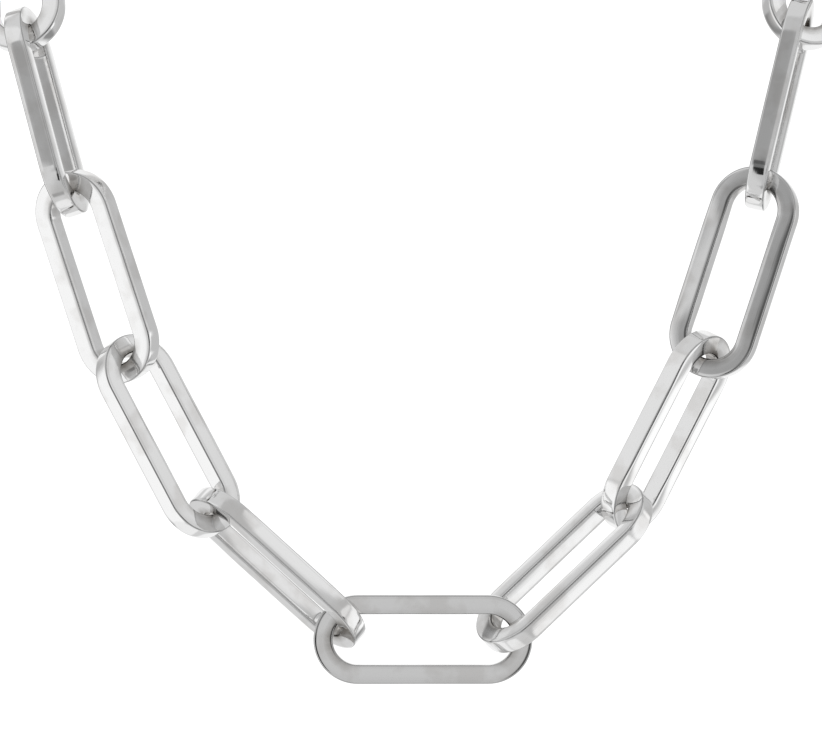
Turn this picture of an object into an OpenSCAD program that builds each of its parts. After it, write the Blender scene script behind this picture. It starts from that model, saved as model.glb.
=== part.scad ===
// Paperclip chain necklace: long links of square silver wire that hang round a neck in a deep curve,
// closed behind the neck by a one-piece clasp and a jump ring. Millimetres, X to the viewer's right,
// Y away from the viewer, Z up. The origin is where the clasp lies on the back of the neck.

/* [Link] */
// Outside length of a link
link_length = 31.1; // [30.7:0.1:31.5]
// Outside width of a link
link_width = 12.6; // [12.4:0.1:13]
// Side of the square wire
wire = 2.7; // [2.4:0.05:2.75]
// Chamfer along the edges of the wire
wire_edge = 0.2; // [0.15:0.05:0.3]
// Room left in each joint on top of what the crossing wires need
slack = 0.05; // [0.05:0.01:0.15]

/* [Way it hangs] */
// Slope of the front of the chain, which follows the chest, in degrees from upright
front_slope = 12; // [8:1:14]
// Climb of the first link that goes back, in degrees
back_climb = 42; // [36:1:46]
// How far the last link has turned in towards the middle, in degrees
back_sweep = 68; // [66:1:68]

/* [Clasp] */
// Thickness of the clasp's hook and neck
clasp_thick = 2.3; // [2:0.1:2.5]
// Width of the hole in the clasp's hook
clasp_hole = 5; // [4.8:0.1:5.2]
// Width of the metal round that hole
clasp_rim = 2.2; // [1.8:0.1:2.2]
// Length of the neck between the clasp's hook and its eye
clasp_neck = 1; // [0.6:0.1:1.4]
// Diameter of the hole in the clasp's eye
eye_hole = 3.8; // [3.7:0.1:4]
// Width of the metal round the eye
eye_rim = 1.4; // [1.2:0.1:1.6]
// Thickness of the eye
eye_thick = 1.6; // [1.4:0.1:1.8]
// Diameter of the jump ring's wire
ring_wire = 1.8; // [1.6:0.1:1.9]
// Inside diameter of the jump ring
ring_inside = 7; // [6.8:0.1:7.4]
// Room left in the joints of the clasp and the jump ring
clasp_slack = 0.45; // [0.4:0.05:0.5]

/* [Hidden] */
// Straight part of a link, and the radii of its round ends
straight = link_length - link_width;
bend = (link_width - wire) / 2;
inner = link_width / 2 - wire;
half_bar = (wire - wire_edge) / 2;

// The links that hang in front, from the bottom up. A row holds degrees: turn is how steep the link
// stands on the sloping front, lean is how far it leans back from that slope, and roll is how far its
// flat side turns from the viewer to the right.
TURN = 0;
LEAN = 1;
ROLL = 2;
left_front = [
    [42.5, -5, -67],
    [62, 3, 43],
    [72, -2, -32],
    [74.5, 11, 77],
    [86.5, 17, -17]
];
right_front = [
    [43.5, 2, -59],
    [63, 0, 54],
    [72, -1, -17],
    [76.5, 3, 79],
    [88.5, 19, 22]
];

// The links behind sweep in and climb over the neck, the last one by the whole sweep: the starts are
// shares of a link, and a curve above 1 bends the chain more near its ends. They turn over by a right
// angle and a little more each, from these first rolls. The clasp and the jump ring turn by this much
// from lying flat on the neck.
back_links = 4;
sweep_start = 0.4;
sweep_curve = 1.3;
climb_start = 0.5;
climb_curve = 1.1;
left_roll = -14;
right_roll = 36;
roll_drift = 11;
clasp_roll = 2;
ring_roll = 60;

// Half widths of the clasp's neck at its two ends, as shares of the hook's and the eye's radius
root_share = 0.7;
tip_share = 0.6;

// Ways out of the slope of the chest and up it, and the way to the back
viewer = [0, -cos(front_slope), sin(front_slope)];
upward = [0, sin(front_slope), cos(front_slope)];
behind = [0, 1, 0];
rightward = [1, 0, 0];
LEFT = -1;
RIGHT = 1;
front_links = len(left_front);
side_links = front_links + back_links;

left_names = [for (i = [1:side_links]) str("link_left_", i)];
right_names = [for (i = [1:side_links]) str("link_right_", i)];
$fn = 64;

function unit(v) = v / norm(v);
function along(v, way) = v * way < 0 ? -v : v;

// Direction of a link's long axis, in front and behind
function front_axis(row, side) =
    (rightward * side * cos(row[TURN]) + upward * sin(row[TURN])) * cos(row[LEAN])
    - viewer * sin(row[LEAN]);
function inward(i) = back_sweep * pow((i + sweep_start) / (back_links - 1 + sweep_start), sweep_curve);
function climb(i) = back_climb * pow(1 - (i + climb_start) / (back_links + climb_start), climb_curve);
function back_axis(i, side) = [
    -side * sin(inward(i)) * cos(climb(i)),
    cos(inward(i)) * cos(climb(i)),
    sin(climb(i))
];
function outward(i, side) = [side * cos(inward(i)), sin(inward(i)), 0];
function back_roll(i, side) =
    (side == LEFT ? left_roll : right_roll) - side * (90 * (i % 2) + roll_drift * i);

// Normal of the flat side of a link: it faces one way as squarely as its axis lets it, then rolls
function rolled(axis, facing, roll) =
    let (square_on = unit(facing - axis * (axis * facing)))
    cos(roll) * square_on + sin(roll) * cross(axis, square_on);

// A way is [axis, normal] and a pose is [middle, axis, normal]
WAY_AXIS = 0;
WAY_NORMAL = 1;
MIDDLE = 0;
AXIS = 1;
NORMAL = 2;
function front_way(row, side) =
    let (axis = front_axis(row, side))
    [axis, rolled(axis, viewer, row[ROLL])];
function back_way(i, side) =
    let (axis = back_axis(i, side))
    [axis, rolled(axis, outward(i, side), back_roll(i, side))];
// The last link lies in the plane in which the clasp pulls on it
function last_way(side) =
    let (axis = back_axis(back_links - 1, side))
    [axis, unit(cross(axis, rightward))];
function ways(side) = concat(
    [for (row = side == LEFT ? left_front : right_front) front_way(row, side)],
    [for (i = [0:back_links - 2]) back_way(i, side)],
    [last_way(side)]
);

// Two bars that cross inside each other's bend touch at their corners before their middles meet.
// The reach is how far from the middle that happens, for half a bar's width and the angle between
// the two flat sides, and the play is the room that it costs in a bend.
function reach(half, flat_a, flat_b) =
    let (twist_sin = norm(cross(flat_a, flat_b)))
    half * (1 + sqrt(1 - pow(twist_sin, 2))) / twist_sin;
function play(reach, radius) = radius - sqrt(pow(radius, 2) - pow(reach, 2));

// The next link pulls on the one before it along the line that both of their planes share
function hung(before, way) =
    let (
        axis = way[WAY_AXIS],
        normal = way[WAY_NORMAL],
        pull = along(unit(cross(before[NORMAL], normal)), before[AXIS] + axis),
        corner = play(reach(half_bar, before[NORMAL], normal), inner),
        apart = 2 * (inner - corner) - slack,
        low_end = before[MIDDLE] + before[AXIS] * straight / 2 + pull * apart
    )
    [low_end + axis * straight / 2, axis, normal];
function strung(side) =
    let (all_ways = ways(side))
    [for (
        i = 0, pose = hung([[0, 0, 0], rightward * side, viewer], all_ways[0]);
        i < side_links;
        i = i + 1, pose = i < side_links ? hung(pose, all_ways[i]) : pose
    ) pose];

left_chain = strung(LEFT);
right_chain = strung(RIGHT);
last_left = left_chain[side_links - 1];
last_right = right_chain[side_links - 1];

// The clasp hangs on the last left link and the jump ring on the last right one
left_end = last_left[MIDDLE] + last_left[AXIS] * straight / 2;
right_end = last_right[MIDDLE] + last_right[AXIS] * straight / 2;
closing = unit(right_end - left_end);
clasp_normal = rolled(closing, behind, clasp_roll);
ring_normal = rolled(closing, behind, ring_roll);

hook_radius = clasp_hole / 2;
hook_outer = hook_radius + clasp_rim;
eye_radius = eye_hole / 2;
eye_outer = eye_radius + eye_rim;
ring_radius = ring_inside / 2;
link_in_hook = play(reach(half_bar, last_left[NORMAL], clasp_normal), hook_radius);
hook_in_link = play(reach(clasp_thick / 2, last_left[NORMAL], clasp_normal), inner);
link_in_ring = play(reach(half_bar, last_right[NORMAL], ring_normal), ring_radius);
eye_in_ring = play(reach(eye_thick / 2, clasp_normal, ring_normal), ring_radius);
hook_seat = inner + hook_radius - link_in_hook - hook_in_link - clasp_slack;
ring_seat = inner + ring_radius - link_in_ring - clasp_slack;
eye_seat = eye_radius + ring_radius - eye_in_ring - clasp_slack;
hook_place = left_end + closing * hook_seat;
ring_place = right_end - closing * ring_seat;
eye_span = norm(ring_place - closing * eye_seat - hook_place);
hook_straight = eye_span - hook_outer - eye_outer - clasp_neck;
neck_start = hook_straight + hook_radius;
neck_end = eye_span - eye_radius - eye_rim / 2;
neck_root = hook_outer * root_share;
neck_tip = eye_outer * tip_share;

// The neck side of the clasp, midway between the two ends of the chain, is the origin
neck_point = (left_end + right_end) / 2 - clasp_normal * clasp_thick / 2;

// Moves a piece drawn with its long axis on X and its flat side up to a place on the chain
module placed(middle, axis, normal) {
    across = cross(normal, axis);
    at = middle - neck_point;
    multmatrix([
        [axis[0], across[0], normal[0], at[0]],
        [axis[1], across[1], normal[1], at[1]],
        [axis[2], across[2], normal[2], at[2]],
        [0, 0, 0, 1]
    ]) children();
}

// Section of the wire, a square with its corners cut off
module wire_section() {
    half = wire / 2;
    cut = half - wire_edge;
    polygon([
        [half, cut], [cut, half], [-cut, half], [-half, cut],
        [-half, -cut], [-cut, -half], [cut, -half], [half, -cut]
    ]);
}

module round_end() {
    translate([straight / 2, 0, 0])
        rotate([0, 0, -90])
            rotate_extrude(angle = 180)
                translate([bend, 0]) wire_section();
}

module long_bar() {
    translate([-straight / 2, bend, 0])
        rotate([90, 0, 90])
            linear_extrude(height = straight) wire_section();
}

// One link: two straight bars joined by two round ends
module link(pose) {
    color("silver")
        placed(pose[MIDDLE], pose[AXIS], pose[NORMAL])
            union() {
                round_end();
                rotate([0, 0, 180]) round_end();
                long_bar();
                rotate([0, 0, 180]) long_bar();
            }
}

// A flat outline with two round ends, from the origin along X
module slot(radius, span) {
    circle(r = radius);
    translate([span, 0]) circle(r = radius);
    translate([0, -radius]) square([span, 2 * radius]);
}

// A flat plate of this thickness, with its middle at height 0
module plate(thick) {
    translate([0, 0, -thick / 2])
        linear_extrude(height = thick) children();
}

// The clasp is one piece: a closed hook with a short neck, and a thinner eye
module clasp() {
    color("silver")
        placed(hook_place, closing, clasp_normal)
            difference() {
                union() {
                    plate(clasp_thick) {
                        slot(hook_outer, hook_straight);
                        polygon([
                            [neck_start, -neck_root],
                            [neck_end, -neck_tip],
                            [neck_end, neck_tip],
                            [neck_start, neck_root]
                        ]);
                    }
                    plate(eye_thick) translate([eye_span, 0]) circle(r = eye_outer);
                }
                plate(2 * clasp_thick) {
                    slot(hook_radius, hook_straight);
                    translate([eye_span, 0]) circle(r = eye_radius);
                }
            }
}

// A ring of round wire through the clasp's eye and the last right link
module jump_ring() {
    color("silver")
        placed(ring_place, closing, ring_normal)
            rotate_extrude()
                translate([ring_radius + ring_wire / 2, 0]) circle(d = ring_wire, $fn = 32);
}

link([[0, 0, 0], rightward, viewer]);  // link_bottom
for (i = [0:side_links - 1]) {
    link(left_chain[i]);
    link(right_chain[i]);
}
clasp();
jump_ring();
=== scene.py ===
import math

import bmesh
import bpy
import numpy as np
from mathutils import Matrix, Vector, noise


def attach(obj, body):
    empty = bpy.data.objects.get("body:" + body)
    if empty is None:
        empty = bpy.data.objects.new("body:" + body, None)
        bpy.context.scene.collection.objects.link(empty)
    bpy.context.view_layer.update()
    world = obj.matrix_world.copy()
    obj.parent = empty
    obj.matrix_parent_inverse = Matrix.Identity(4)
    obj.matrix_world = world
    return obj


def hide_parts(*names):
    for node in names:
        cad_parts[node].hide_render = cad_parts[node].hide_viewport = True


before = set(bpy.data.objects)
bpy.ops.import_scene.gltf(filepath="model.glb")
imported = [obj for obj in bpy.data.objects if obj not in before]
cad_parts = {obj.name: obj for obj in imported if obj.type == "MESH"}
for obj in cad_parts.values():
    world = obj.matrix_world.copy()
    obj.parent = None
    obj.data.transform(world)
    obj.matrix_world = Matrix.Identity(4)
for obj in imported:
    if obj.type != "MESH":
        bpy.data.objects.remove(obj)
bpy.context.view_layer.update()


# Chain links
# Each link is one length of square sterling wire, bent round into a long loop and soldered shut.
# Its four corners are filed to narrow flats, and the whole chain is polished by hand, which leaves
# the broad sides a little crowned and wavy. Links are held only by the links that they pass through.

filed_flat = 0.00017
soft_corner = 0.00004
side_crown = 0.000026
wave_height = 0.000022
wave_length = 0.0075
side_cuts = 5
bar_steps = 16
bend_steps = 40
# The upright part of the normal lies between these two on the faces of the filed edges.
filed_tilt = (0.5, 0.87)
# The bars of some links are twisted, by these degrees, and the twist fades out before the bends.
bar_twists = {"link_right_3": (-4, 1), "link_left_1": (-3, -3), "link_right_2": (3, 3)}
twist_fade = 0.004
# Degrees to each side of a bend's middle in which the neighbour link passes and shade is painted into the
# colour.
painted_shade_angle = 80


def lie_of(node):
    """Middle, axes as columns (long, across, flat side) and outside sizes of a loop, from its solid."""
    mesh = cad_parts[node].data
    mesh.calc_loop_triangles()
    points = np.array([v.co for v in mesh.vertices])
    corners = points[np.array([t.vertices for t in mesh.loop_triangles])]
    areas = np.array([t.area for t in mesh.loop_triangles])
    middle = (corners.mean(axis=1) * areas[:, None]).sum(axis=0) / areas.sum()
    arms = corners - middle
    sums = arms.sum(axis=1)
    spread = np.einsum("t,tia,tib->ab", areas, arms, arms) + np.einsum("t,ta,tb->ab", areas, sums, sums)
    axes = np.linalg.eigh(spread)[1][:, ::-1]
    along = axes[:, 0] * (1 if axes[:, 0].sum() > 0 else -1)
    flat = axes[:, 2] * (-1 if axes[1, 2] > 0 else 1)
    axes = np.column_stack([along, np.cross(flat, along), flat])
    local = (points - middle) @ axes
    middle = middle + axes @ (local.max(axis=0) + local.min(axis=0)) / 2
    return Vector(middle), Matrix(axes.tolist()), Vector(np.ptp(local, axis=0))


def square_section(bm, wire, place):
    """Outline of the wire: a square with filed corners, softened edges and crowned sides."""
    half = wire / 2
    turned = Matrix.Rotation(math.radians(45), 4, "Z")
    bmesh.ops.create_circle(bm, cap_ends=True, segments=4, radius=half * math.sqrt(2), matrix=turned)
    for offset, segments in ((filed_flat, 1), (soft_corner, 2)):
        bmesh.ops.bevel(
            bm, geom=bm.verts[:], offset=offset, affect="VERTICES", segments=segments, profile=0.5,
            material=-1,
        )
    sides = [e for e in bm.edges if e.calc_length() > half]
    bmesh.ops.subdivide_edges(bm, edges=sides, cuts=side_cuts)
    bmesh.ops.delete(bm, geom=bm.faces[:], context="FACES_ONLY")
    flat = half - filed_flat - soft_corner
    for v in bm.verts:
        for near, far in ((0, 1), (1, 0)):
            if abs(abs(v.co[near]) - half) < soft_corner / 4:
                v.co[near] += math.copysign(side_crown, v.co[near]) * (1 - (v.co[far] / flat) ** 2)
    bmesh.ops.transform(bm, verts=bm.verts, matrix=place)
    return bm.edges[:]


def bent_loop(size):
    """A closed loop of square wire, its long axis on X and its flat side up."""
    length, width, wire = size
    straight = length - width
    bend = (width - wire) / 2
    bm = bmesh.new()
    start = Matrix.Translation((-straight / 2, bend, 0)) @ Matrix.Rotation(math.radians(90), 4, "Y")
    section = square_section(bm, wire, start)
    bar = bmesh.ops.spin(
        bm, geom=section, cent=(0, 0, 0), axis=(0, 0, 1), dvec=(straight / bar_steps, 0, 0), angle=0,
        steps=bar_steps,
    )
    bmesh.ops.spin(
        bm, geom=bar["geom_last"], cent=(straight / 2, 0, 0), axis=(0, 0, 1), dvec=(0, 0, 0),
        angle=-math.pi, steps=bend_steps,
    )
    half_loop = bmesh.ops.duplicate(bm, geom=bm.verts[:] + bm.edges[:] + bm.faces[:])
    turned = [g for g in half_loop["geom"] if isinstance(g, bmesh.types.BMVert)]
    bmesh.ops.rotate(bm, verts=turned, cent=(0, 0, 0), matrix=Matrix.Rotation(math.pi, 3, "Z"))
    bmesh.ops.remove_doubles(bm, verts=bm.verts, dist=soft_corner / 10)
    bmesh.ops.recalc_face_normals(bm, faces=bm.faces)
    return bm


def hand_finish(bm, size, lie, number, twists):
    """Marks the filed edges, twists the two bars, adds slight waves, keeps where each point lies and how much
    painted shade each point takes inside the bends.
    """
    lie_layer = bm.verts.layers.float_vector.new("lie")
    out_layer = bm.verts.layers.float.new("out")
    painted_shade_layer = bm.verts.layers.float.new("painted_shade_mask")
    half_straight = (size[0] - size[1]) / 2
    bend = (size[1] - size[2]) / 2
    bm.normal_update()
    for f in bm.faces:
        f.material_index = int(filed_tilt[0] < abs(f.normal.z) < filed_tilt[1])
    for v in bm.verts:
        within = min(max((half_straight - abs(v.co.x)) / twist_fade, 0), 1)
        bar_middle = Vector((v.co.x, math.copysign(bend, v.co.y), 0))
        twist = math.radians(twists[int(v.co.y < 0)])
        turn = Matrix.Rotation(twist * within * within * (3 - 2 * within), 3, "X")
        if within > 0:
            v.co = bar_middle + turn @ (v.co - bar_middle)
    bm.normal_update()
    moves = []
    for v in bm.verts:
        from_end = max(abs(v.co.x) - half_straight, 0)
        v[out_layer] = math.hypot(from_end, v.co.y) - bend
        # Painted shade: strongest on the inside of each bend's middle, where the neighbour link touches.
        round_end = 1 - math.degrees(math.atan2(abs(v.co.y), from_end)) / painted_shade_angle
        inside = min(max(-2 * v[out_layer] / size[2], 0), 1)
        v[painted_shade_layer] = max(round_end, 0) ** 0.5 * inside
        v[lie_layer] = v.co + Vector((0, 0, number * size[0]))
        moves.append(v.normal * wave_height * noise.noise(v[lie_layer] / wave_length))
    for v, move in zip(bm.verts, moves):
        v.co += move
    bmesh.ops.transform(bm, verts=bm.verts, matrix=lie)


def piece(name, bm, materials, node):
    """Makes a finished object of the mesh, in place of a node of the frame."""
    mesh = bpy.data.meshes.new(name)
    bm.to_mesh(mesh)
    bm.free()
    mesh.shade_smooth()
    for material in materials:
        mesh.materials.append(material)
    made = bpy.data.objects.new(name, mesh)
    bpy.context.scene.collection.objects.link(made)
    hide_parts(node)
    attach(made, "root")


def add_node(tree, kind, inputs=None, **settings):
    """Adds a node with its settings, and fills each input with a value or a link."""
    made = tree.nodes.new(kind)
    for name, value in settings.items():
        setattr(made, name, value)
    for name, value in (inputs or {}).items():
        if isinstance(value, bpy.types.NodeSocket):
            tree.links.new(value, made.inputs[name])
        else:
            made.inputs[name].default_value = value
    return made


def linear(hex_colour):
    """Linear RGBA of an sRGB hex colour."""
    parts = [int(hex_colour[i:i + 2], 16) / 255 for i in (1, 3, 5)]
    return [*(p / 12.92 if p <= 0.04045 else ((p + 0.055) / 1.055) ** 2.4 for p in parts), 1.0]


def polished_sterling():
    """Sterling silver, drawn, filed and buffed: a near mirror with soft streaks along the wire.

    Inside each bend, where the neighbour link passes, the colour is darkened to a grey: painted shade where
    the links touch.
    """
    # Real polishing lines are under 0.1 mm wide. They are drawn wider here, so that they show.
    streak_width = 0.00045
    streak_run = 0.012
    streak_depth = 0.000004
    # The painted shade in the bends is uneven in patches of about a millimetre, and fingers leave smudges of
    # about five.
    patch_size = 0.0012
    smudge_size = 0.005
    buffed = linear("#F6F6F6")
    smudged = linear("#EAE9E8")
    # Painted shade: the grey of the bends where the links touch.
    painted_shade_grey = linear("#857F78")
    material = bpy.data.materials.new("polished_sterling_wire")
    material.use_nodes = True
    tree = material.node_tree
    shader = tree.nodes["Principled BSDF"]
    shader.inputs["Metallic"].default_value = 1.0
    lie = add_node(tree, "ShaderNodeAttribute", attribute_name="lie")
    out = add_node(tree, "ShaderNodeAttribute", attribute_name="out")
    parts = add_node(tree, "ShaderNodeSeparateXYZ", {"Vector": lie.outputs["Vector"]})
    across = add_node(
        tree, "ShaderNodeMath", {0: out.outputs["Fac"], 1: 1 / streak_width}, operation="MULTIPLY"
    )
    up = add_node(tree, "ShaderNodeMath", {0: parts.outputs["Z"], 1: 1 / streak_width}, operation="MULTIPLY")
    run_x = add_node(tree, "ShaderNodeMath", {0: parts.outputs["X"], 1: 1 / streak_run}, operation="MULTIPLY")
    run_y = add_node(tree, "ShaderNodeMath", {0: parts.outputs["Y"], 1: 1 / streak_run}, operation="MULTIPLY")
    place = add_node(
        tree,
        "ShaderNodeCombineXYZ",
        {"X": run_x.outputs[0], "Y": run_y.outputs[0], "Z": across.outputs[0]},
    )
    streaks = add_node(
        tree,
        "ShaderNodeTexNoise",
        {"Vector": place.outputs[0], "W": up.outputs[0], "Scale": 1.0, "Detail": 2.0},
        noise_dimensions="4D",
    )
    polish = add_node(
        tree,
        "ShaderNodeMapRange",
        {"Value": streaks.outputs["Fac"], "From Min": 0.3, "From Max": 0.7, "To Min": 0.05, "To Max": 0.09},
    )
    tree.links.new(polish.outputs[0], shader.inputs["Roughness"])
    # Painted shade inside the bends where the links touch, uneven in patches.
    painted_shade_mask = add_node(tree, "ShaderNodeAttribute", attribute_name="painted_shade_mask")
    patches = add_node(
        tree, "ShaderNodeTexNoise", {"Vector": lie.outputs["Vector"], "Scale": 1 / patch_size, "Detail": 2.0}
    )
    uneven = add_node(
        tree,
        "ShaderNodeMapRange",
        {"Value": patches.outputs["Fac"], "From Min": 0.35, "From Max": 0.65, "To Min": 0.6, "To Max": 1.0},
    )
    painted_shade = add_node(
        tree, "ShaderNodeMath", {0: painted_shade_mask.outputs["Fac"], 1: uneven.outputs[0]}, operation="MULTIPLY"
    )
    smudges = add_node(
        tree, "ShaderNodeTexNoise", {"Vector": lie.outputs["Vector"], "Scale": 1 / smudge_size, "Detail": 3.0}
    )
    dulled = add_node(
        tree, "ShaderNodeMapRange", {"Value": smudges.outputs["Fac"], "From Min": 0.50, "From Max": 0.62}
    )
    skin = add_node(
        tree,
        "ShaderNodeMixRGB",
        {"Fac": dulled.outputs[0], "Color1": buffed, "Color2": smudged},
    )
    colour = add_node(
        tree,
        "ShaderNodeMixRGB",
        {"Fac": painted_shade.outputs[0], "Color1": skin.outputs[0], "Color2": painted_shade_grey},
    )
    tree.links.new(colour.outputs[0], shader.inputs["Base Color"])
    bump = add_node(
        tree,
        "ShaderNodeBump",
        {"Height": streaks.outputs["Fac"], "Strength": 1.0, "Distance": streak_depth},
    )
    tree.links.new(bump.outputs[0], shader.inputs["Normal"])
    return material


def filed_sterling():
    """The narrow filed edges, which the buffing wheel hardly reaches: greyer and softer."""
    material = bpy.data.materials.new("filed_sterling_edge")
    material.use_nodes = True
    shader = material.node_tree.nodes["Principled BSDF"]
    shader.inputs["Base Color"].default_value = linear("#BCBCBC")
    shader.inputs["Metallic"].default_value = 1.0
    shader.inputs["Roughness"].default_value = 0.16
    return material


silver_wire = polished_sterling()
filed_edge = filed_sterling()
links = sorted(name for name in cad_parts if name.startswith("link_"))
for number, name in enumerate(links):
    middle, axes, size = lie_of(name)
    loop = bent_loop(size)
    hand_finish(loop, size, Matrix.LocRotScale(middle, axes, None), number, bar_twists.get(name, (0, 0)))
    piece("polished_" + name, loop, [silver_wire, filed_edge], name)


# Clasp
# One plain cast piece of the same silver: a closed hook, a short neck and a thinner eye, tumbled until
# its edges are soft. The last left link hangs in its hook, and the jump ring goes through its eye.

weld_gap = 0.000002
mesh_step = 0.00012
wear_passes = 14
# Steel shot leaves dents a little under a millimetre across.
dent_size = 0.0009
dent_depth = 0.000012


def cast_clasp(node):
    """The clasp's solid under a fine even mesh, with its edges worn round as tumbling does."""
    bm = bmesh.new()
    bm.from_mesh(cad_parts[node].data)
    bmesh.ops.remove_doubles(bm, verts=bm.verts, dist=weld_gap)
    core = bpy.data.objects.new("clasp_core", bpy.data.meshes.new("clasp_core"))
    bm.to_mesh(core.data)
    bm.clear()
    bpy.context.scene.collection.objects.link(core)
    skin = core.modifiers.new("cast_skin", "REMESH")
    skin.mode = "VOXEL"
    skin.voxel_size = mesh_step
    bm.from_object(core, bpy.context.evaluated_depsgraph_get())
    bpy.data.objects.remove(core)
    for _ in range(wear_passes):
        bmesh.ops.smooth_vert(
            bm, verts=bm.verts, factor=0.5, use_axis_x=True, use_axis_y=True, use_axis_z=True
        )
    bmesh.ops.recalc_face_normals(bm, faces=bm.faces)
    return bm


def tumbled_sterling():
    """Silver rolled with steel shot: bright, with a fine hammered skin in place of a drawn grain."""
    material = bpy.data.materials.new("tumbled_sterling_fittings")
    material.use_nodes = True
    tree = material.node_tree
    shader = tree.nodes["Principled BSDF"]
    shader.inputs["Base Color"].default_value = linear("#F5F5F5")
    shader.inputs["Metallic"].default_value = 1.0
    spot = add_node(tree, "ShaderNodeTexCoord")
    dents = add_node(
        tree, "ShaderNodeTexNoise", {"Vector": spot.outputs["Object"], "Scale": 1 / dent_size, "Detail": 3.0}
    )
    polish = add_node(
        tree,
        "ShaderNodeMapRange",
        {"Value": dents.outputs["Fac"], "From Min": 0.3, "From Max": 0.7, "To Min": 0.08, "To Max": 0.14},
    )
    tree.links.new(polish.outputs[0], shader.inputs["Roughness"])
    bump = add_node(
        tree, "ShaderNodeBump", {"Height": dents.outputs["Fac"], "Strength": 1.0, "Distance": dent_depth}
    )
    tree.links.new(bump.outputs[0], shader.inputs["Normal"])
    return material


tumbled_silver = tumbled_sterling()
piece("cast_clasp", cast_clasp("clasp"), [tumbled_silver], "clasp")


# Jump ring
# A ring of round silver wire, cut from a coil and soldered shut through the clasp's eye and the last
# right link. It is filed flush at the joint and tumbled as the clasp is.

ring_steps = 96
wire_sides = 24


def round_ring(node):
    """A full turn of round wire in the place of the ring's solid."""
    middle, axes, size = lie_of(node)
    wire = size[2]
    bm = bmesh.new()
    start = Matrix.Translation(((size[0] - wire) / 2, 0, 0)) @ Matrix.Rotation(math.radians(90), 4, "X")
    bmesh.ops.create_circle(bm, cap_ends=False, segments=wire_sides, radius=wire / 2, matrix=start)
    bmesh.ops.spin(
        bm, geom=bm.edges[:], cent=(0, 0, 0), axis=(0, 0, 1), dvec=(0, 0, 0), angle=math.tau,
        steps=ring_steps, use_merge=True,
    )
    bmesh.ops.recalc_face_normals(bm, faces=bm.faces)
    bmesh.ops.transform(bm, verts=bm.verts, matrix=Matrix.LocRotScale(middle, axes, None))
    return bm


piece("soldered_jump_ring", round_ring("jump_ring"), [tumbled_silver], "jump_ring")


# Studio
# A white floor and surround, and a light tent round the necklace that only its reflections show: pale
# cloth with white, grey and dark cards hung in it. The camera looks square at the front of the chain,
# so it stands as much above it as the chest slopes.

# The point that shows in the middle of the photo.
photo_middle = Vector((-0.00073, -0.09107, -0.10716))
chest_slope = math.radians(12)
camera_distance = 0.700
lens_mm = 215.6
floor_drop = 0.25
floor_span = 12.0
tent_radius = 0.90
cloth_glow = 0.66

# The cards that hang in the tent, each in front of the rows above it: azimuth, elevation, width, height,
# glow and soft edge. All but the glow are in degrees, and the first two count from the camera, to the
# right and upwards.
tent_cards = [
    # Behind, in front, to the left and above that
    (180, 0, 62, 90, 0.95, 3),
    (18, 4, 86, 117, 0.54, 5),
    (-85, -23, 52, 76, 0.99, 6),
    (-65, 36, 50, 30, 0.80, 3),
    # Behind on the left
    (-127, -18, 14, 60, 0.28, 6),
    (-128, 7, 15, 22, 0.49, 3),
    (-147, -34, 20, 12, 0.68, 3),
    (-136, -61, 60, 24, 0.90, 3),
    (-112, 44, 18, 14, 0.46, 5),
    (-137, 42, 16, 14, 0.95, 3),
    # To the right
    (87, -11, 41, 38, 0.97, 4),
    (44, 27, 14, 9, 0.82, 3),
    (57, 33, 10, 10, 0.87, 3),
    (62, -40, 15, 16, 0.98, 3),
    (82, 34, 14, 8, 0.76, 3),
    (55, 0, 14, 16, 0.85, 3),
    # Behind on the right
    (132, 5, 47, 80, 0.55, 3),
    (121, -23, 14, 11, 1.08, 3),
    (107, 9, 10, 7, 1.10, 3),
    (137, -33, 14, 16, 0.28, 3),
    (153, 12, 9, 9, 0.66, 3),
    # Right of the camera
    (20, -10, 22, 26, 0.09, 3),
    (52, -14, 10, 10, 0.12, 3),
    # Left of the camera and round it
    (-46, 11, 10, 12, 0.80, 3),
    (-37, 19, 12, 9, 0.38, 2),
    (-18.5, 14, 23, 24, 0.35, 4),
    (0, -3, 20, 11, 0.58, 3),
    (-16.5, -1, 10, 10, 0.17, 2),
    (-17.5, -13, 10, 18, 0.02, 1.5),
    (-16, 8, 12, 9, 0.10, 2),
    # Below
    (-22, -57, 24, 10, 0.40, 3),
    (0, -90, 360, 27, 0.88, 3),
]


def stage_object(name, bm, material):
    """Makes a stage object of the mesh."""
    mesh = bpy.data.meshes.new(name)
    bm.to_mesh(mesh)
    bm.free()
    mesh.materials.append(material)
    made = bpy.data.objects.new(name, mesh)
    bpy.context.scene.collection.objects.link(made)
    return made


def white_floor():
    """Matt white paper, lit from below as well."""
    material = bpy.data.materials.new("white_paper_floor")
    material.use_nodes = True
    shader = material.node_tree.nodes["Principled BSDF"]
    shader.inputs["Base Color"].default_value = linear("#F4F4F4")
    shader.inputs["Roughness"].default_value = 1.0
    shader.inputs["Specular IOR Level"].default_value = 0.0
    shader.inputs["Emission Color"].default_value = linear("#FFFFFF")
    shader.inputs["Emission Strength"].default_value = 0.25
    return material


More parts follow.
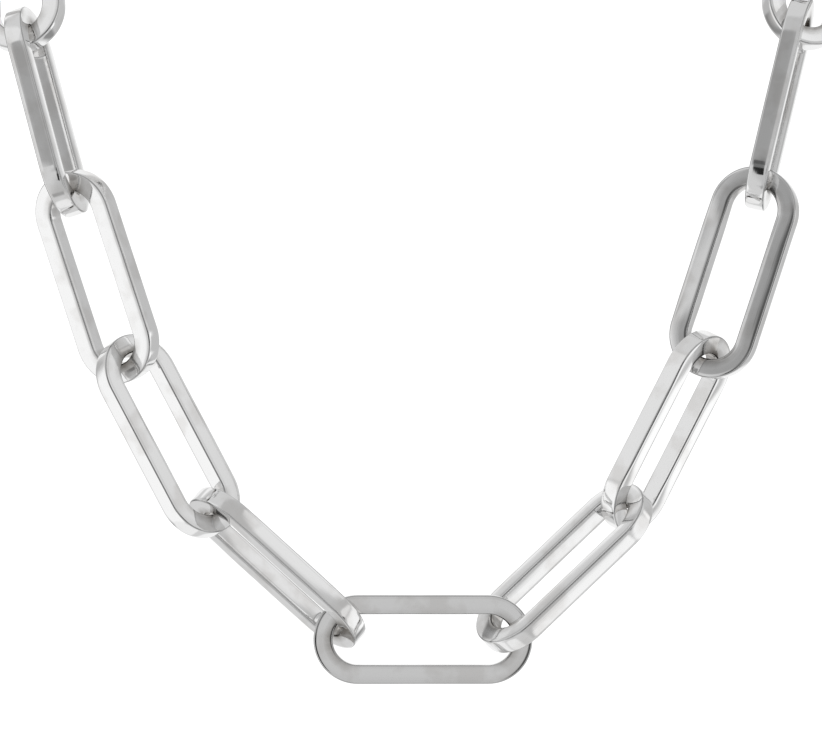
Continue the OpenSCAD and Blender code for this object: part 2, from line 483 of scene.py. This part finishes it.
def hang_card(tree, angles, behind, azimuth, elevation, wide, high, glow, edge):
    """Hangs a soft-edged card in the tent, in front of the light that is behind it."""
    inside = []
    for angle, middle, span in ((angles[0], azimuth, wide), (angles[1], elevation, high)):
        off = add_node(tree, "ShaderNodeMath", {0: angle, 1: math.radians(middle)}, operation="SUBTRACT")
        turned = add_node(
            tree, "ShaderNodeMath", {0: off.outputs[0], 1: math.pi, 2: -math.pi}, operation="WRAP"
        )
        away = add_node(tree, "ShaderNodeMath", {0: turned.outputs[0]}, operation="ABSOLUTE")
        inside.append(
            add_node(
                tree,
                "ShaderNodeMapRange",
                {
                    "Value": away.outputs[0],
                    "From Min": math.radians(span / 2 + edge),
                    "From Max": math.radians(span / 2 - edge),
                },
                interpolation_type="SMOOTHSTEP",
            )
        )
    both = add_node(
        tree, "ShaderNodeMath", {0: inside[0].outputs[0], 1: inside[1].outputs[0]}, operation="MULTIPLY"
    )
    mixed = add_node(
        tree, "ShaderNodeMapRange", {"Value": both.outputs[0], "To Min": behind, "To Max": glow}, clamp=False
    )
    return mixed.outputs[0]


def tent_cloth():
    """The light that each part of the tent gives, on a linear scale where 1 is white. -Y is the camera."""
    material = bpy.data.materials.new("light_tent_cloth")
    material.use_nodes = True
    tree = material.node_tree
    tree.nodes.clear()
    spot = add_node(tree, "ShaderNodeTexCoord")
    way = add_node(tree, "ShaderNodeVectorMath", {0: spot.outputs["Object"]}, operation="NORMALIZE")
    parts = add_node(tree, "ShaderNodeSeparateXYZ", {"Vector": way.outputs[0]})
    toward = add_node(tree, "ShaderNodeMath", {0: parts.outputs["Y"], 1: -1.0}, operation="MULTIPLY")
    azimuth = add_node(
        tree, "ShaderNodeMath", {0: parts.outputs["X"], 1: toward.outputs[0]}, operation="ARCTAN2"
    )
    elevation = add_node(tree, "ShaderNodeMath", {0: parts.outputs["Z"]}, operation="ARCSINE")
    angles = (azimuth.outputs[0], elevation.outputs[0])
    light = cloth_glow
    for card in tent_cards:
        light = hang_card(tree, angles, light, *card)
    cloth = add_node(tree, "ShaderNodeEmission", {"Strength": light})
    add_node(tree, "ShaderNodeOutputMaterial", {"Surface": cloth.outputs[0]})
    return material


floor_mesh = bmesh.new()
bmesh.ops.create_grid(
    floor_mesh, x_segments=1, y_segments=1, size=floor_span / 2,
    matrix=Matrix.Translation((0, 0, -floor_drop)),
)
ground = stage_object("floor", floor_mesh, white_floor())
ground.visible_glossy = False

square_on = Matrix.Translation(photo_middle) @ Matrix.Rotation(-chest_slope, 4, "X")
tent_mesh = bmesh.new()
bmesh.ops.create_icosphere(tent_mesh, subdivisions=4, radius=tent_radius)
tent = stage_object("light_tent", tent_mesh, tent_cloth())
tent.matrix_world = square_on
tent.visible_camera = False
tent.visible_diffuse = False
tent.visible_shadow = False

world = bpy.data.worlds.new("white_surround")
world.use_nodes = True
world.node_tree.nodes["Background"].inputs["Color"].default_value = linear("#FFFFFF")
world.node_tree.nodes["Background"].inputs["Strength"].default_value = 1.0
bpy.context.scene.world = world
bpy.context.scene.view_settings.view_transform = "Standard"

camera = bpy.data.objects.new("camera", bpy.data.cameras.new("camera"))
camera.data.lens = lens_mm
camera.matrix_world = (
    square_on @ Matrix.Translation((0, -camera_distance, 0)) @ Matrix.Rotation(math.radians(90), 4, "X")
)
bpy.context.scene.collection.objects.link(camera)
bpy.context.scene.camera = camera

bpy.context.view_layer.update()
